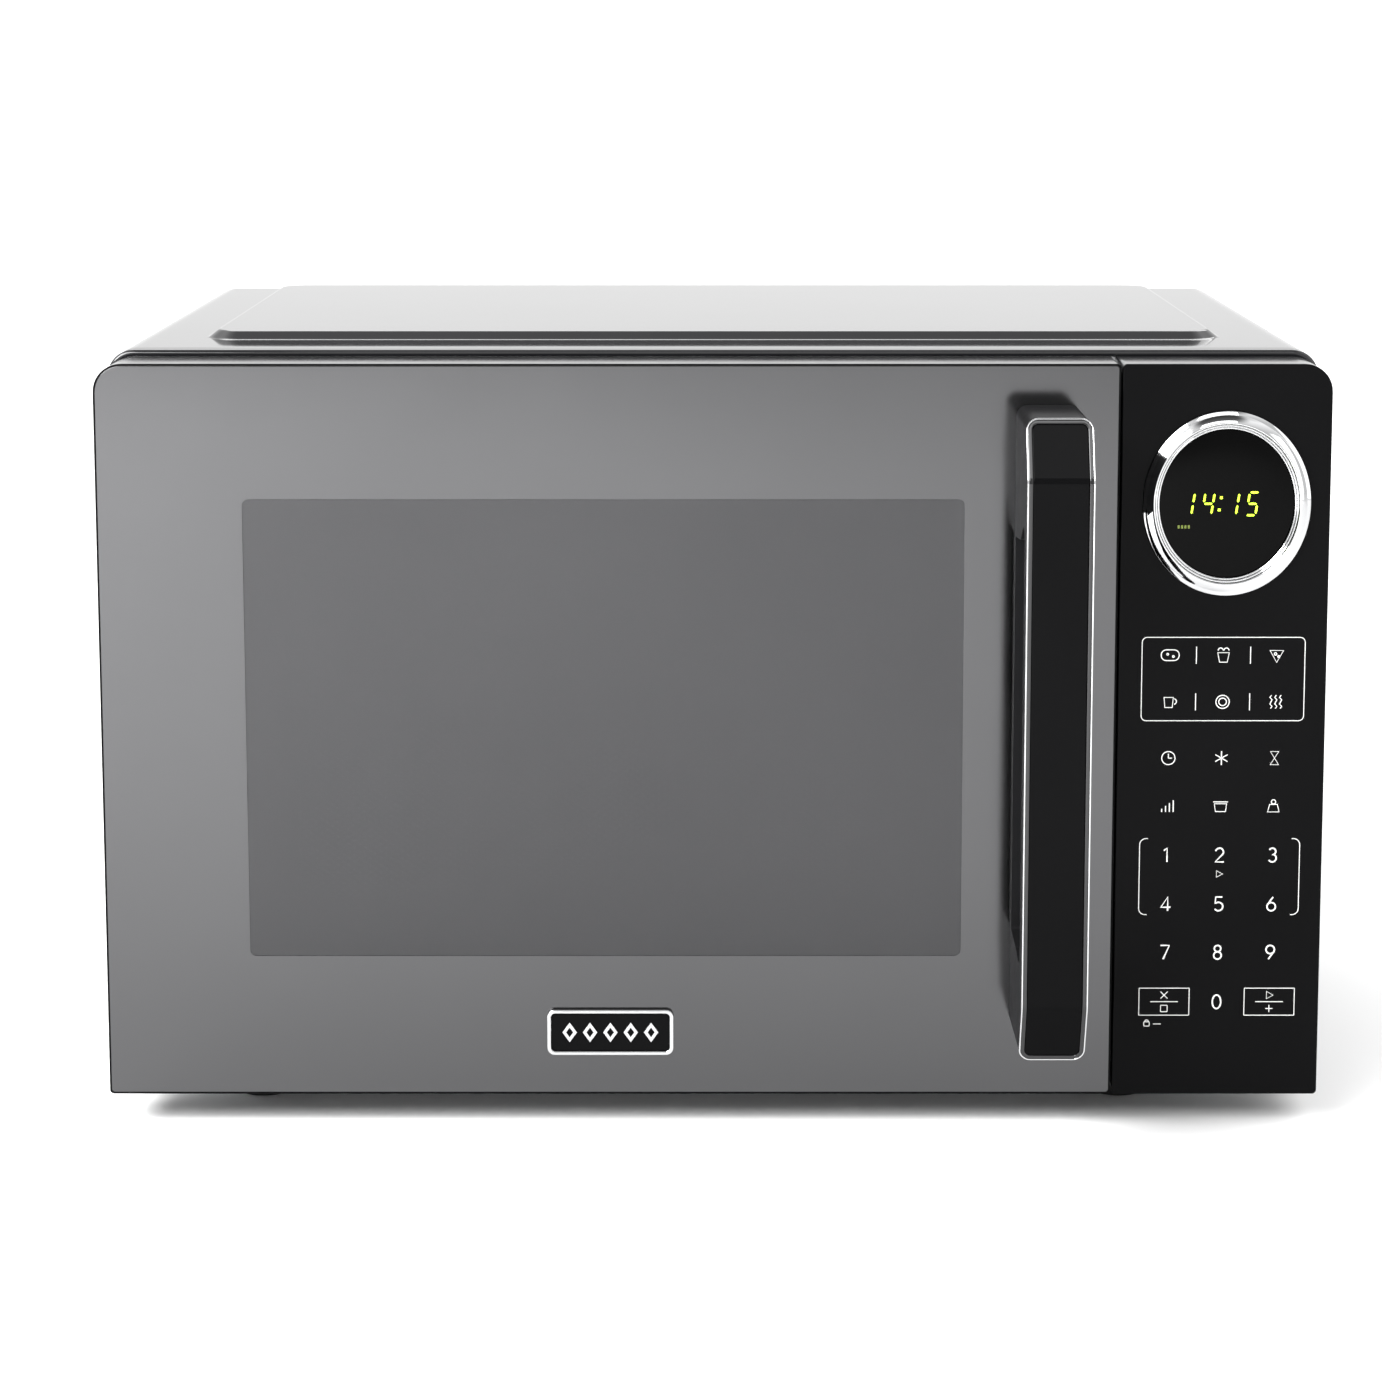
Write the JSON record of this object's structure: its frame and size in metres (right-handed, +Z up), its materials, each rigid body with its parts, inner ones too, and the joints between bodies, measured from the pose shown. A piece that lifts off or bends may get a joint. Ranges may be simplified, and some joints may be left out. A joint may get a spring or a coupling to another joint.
{
  "type": "microwave oven",
  "caption": "Countertop microwave oven with a left-hinged mirrored door, upright bar handle, keypad panel with a round display bezel, and a glass turntable.",
  "frame": {"origin": "middle of the bounding box at the underside of the feet", "axes": "+X to the right across the face, +Y to the back, +Z up; the door and panel face -Y"},
  "size_m": [0.44, 0.376, 0.2844],
  "materials": {
    "black_painted_steel": "gloss black powder coat",
    "zinc_plated_steel": "zinc plated",
    "grey_cavity_enamel": "satin enamel",
    "black_plastic": "fine moulded",
    "gloss_black_plastic": "polished",
    "grey_plastic": "moulded",
    "white_plastic": "moulded",
    "clear_plastic": "clear",
    "red_plastic": "moulded",
    "mirrored_glass": "half-mirrored tint",
    "clear_glass": "toughened, clear",
    "dark_lens": "smoked lens",
    "chrome": "polished plating",
    "black_rubber": "matt",
    "aluminium": "mill finish",
    "steel_lamination": "varnished laminations",
    "enamelled_copper": "enamelled winding wire",
    "mica": "pressed sheet",
    "circuit_board": "coated board"
  },
  "bodies": {
    "case": {"outer_cover": "black_painted_steel", "rear_panel": "zinc_plated_steel", "base_plate": "zinc_plated_steel", "cover_screw_left": "zinc_plated_steel", "cover_screw_right": "zinc_plated_steel", "waveguide": "zinc_plated_steel", "turntable_motor": "zinc_plated_steel", "upper_hinge": "zinc_plated_steel", "lower_hinge": "zinc_plated_steel", "front_frame": "grey_cavity_enamel", "cavity_box": "grey_cavity_enamel", "cord_gland": "black_plastic", "hv_diode": "black_plastic", "fan_shroud": "black_plastic", "upper_switch": "black_plastic", "lower_switch": "black_plastic", "control_panel": "black_plastic", "keypad_overlay": "gloss_black_plastic", "lamp_holder": "white_plastic", "latch_bracket": "white_plastic", "lamp_bulb": "clear_glass", "display_lens": "dark_lens", "display_module": "dark_lens", "display_ring": "chrome", "front_left_foot": "black_rubber", "front_right_foot": "black_rubber", "rear_left_foot": "black_rubber", "rear_right_foot": "black_rubber", "magnetron": "aluminium", "hv_capacitor": "aluminium", "transformer_core": "steel_lamination", "fan_motor": "steel_lamination", "primary_winding": "enamelled_copper", "secondary_winding": "enamelled_copper", "mica_cover": "mica", "noise_filter": "circuit_board", "control_board": "circuit_board"},
    "door": {"door_frame": "black_plastic", "door_glass": "mirrored_glass", "choke_frame": "zinc_plated_steel", "door_screen": "zinc_plated_steel", "choke_cover": "black_plastic", "inner_window": "clear_plastic", "handle_frame": "gloss_black_plastic", "handle_insert": "gloss_black_plastic", "badge_frame": "chrome", "badge_plate": "gloss_black_plastic", "latch_spring": "zinc_plated_steel"},
    "latch": {"latch_hooks": "white_plastic"},
    "turntable": {"turntable_coupler": "clear_plastic", "glass_tray": "clear_glass"},
    "ring": {"roller_ring": "white_plastic"},
    "fan": {"fan_blade": "grey_plastic"},
    "upper_plunger": {"upper_plunger": "red_plastic"},
    "lower_plunger": {"lower_plunger": "red_plastic"},
    "roller_1": {"roller_1": "white_plastic"},
    "roller_2": {"roller_2": "white_plastic"},
    "roller_3": {"roller_3": "white_plastic"}
  },
  "joints": [
    {"name": "door_hinge", "type": "hinge", "parent": "case", "child": "door", "pos_m": [-0.212, -0.114, 0.14], "axis": [0, 0, -1], "range_deg": [0, 105]},
    {"name": "latch_slide", "type": "slide", "parent": "door", "child": "latch", "axis": [0, 0, 1], "range_m": [0, 0.004], "stiffness_N_per_m": 250, "springref_m": -0.003, "deforming": ["latch_spring"]},
    {"name": "turntable_spin", "type": "hinge", "parent": "case", "child": "turntable", "pos_m": [-0.039, 0.032, 0.05], "axis": [0, 0, 1], "continuous": true},
    {"name": "ring_spin", "type": "hinge", "parent": "case", "child": "ring", "pos_m": [-0.039, 0.032, 0.0493], "axis": [0, 0, 1], "continuous": true},
    {"name": "roller_1_spin", "type": "hinge", "parent": "ring", "child": "roller_1", "pos_m": [-0.039, 0.124, 0.0493], "axis": [0, 1, 0], "continuous": true},
    {"name": "roller_2_spin", "type": "hinge", "parent": "ring", "child": "roller_2", "pos_m": [-0.11867, -0.014, 0.0493], "axis": [-0.866, -0.5, 0], "continuous": true},
    {"name": "roller_3_spin", "type": "hinge", "parent": "ring", "child": "roller_3", "pos_m": [0.04067, -0.014, 0.0493], "axis": [0.866, -0.5, 0], "continuous": true},
    {"name": "fan_spin", "type": "hinge", "parent": "case", "child": "fan", "pos_m": [0.166, 0.17, 0.084], "axis": [0, 1, 0], "continuous": true},
    {"name": "upper_plunger_press", "type": "slide", "parent": "case", "child": "upper_plunger", "axis": [0, 1, 0], "range_m": [0, 0.0012], "stiffness_N_per_m": 300, "springref_m": -0.002},
    {"name": "lower_plunger_press", "type": "slide", "parent": "case", "child": "lower_plunger", "axis": [0, 1, 0], "range_m": [0, 0.0012], "stiffness_N_per_m": 300, "springref_m": -0.002}
  ],
  "couplings": [
    {"joint": "ring_spin", "follows": "turntable_spin", "ratio": 0.5},
    {"joint": "roller_1_spin", "follows": "turntable_spin", "ratio": -6.5714},
    {"joint": "roller_2_spin", "follows": "turntable_spin", "ratio": -6.5714},
    {"joint": "roller_3_spin", "follows": "turntable_spin", "ratio": -6.5714}
  ]
}
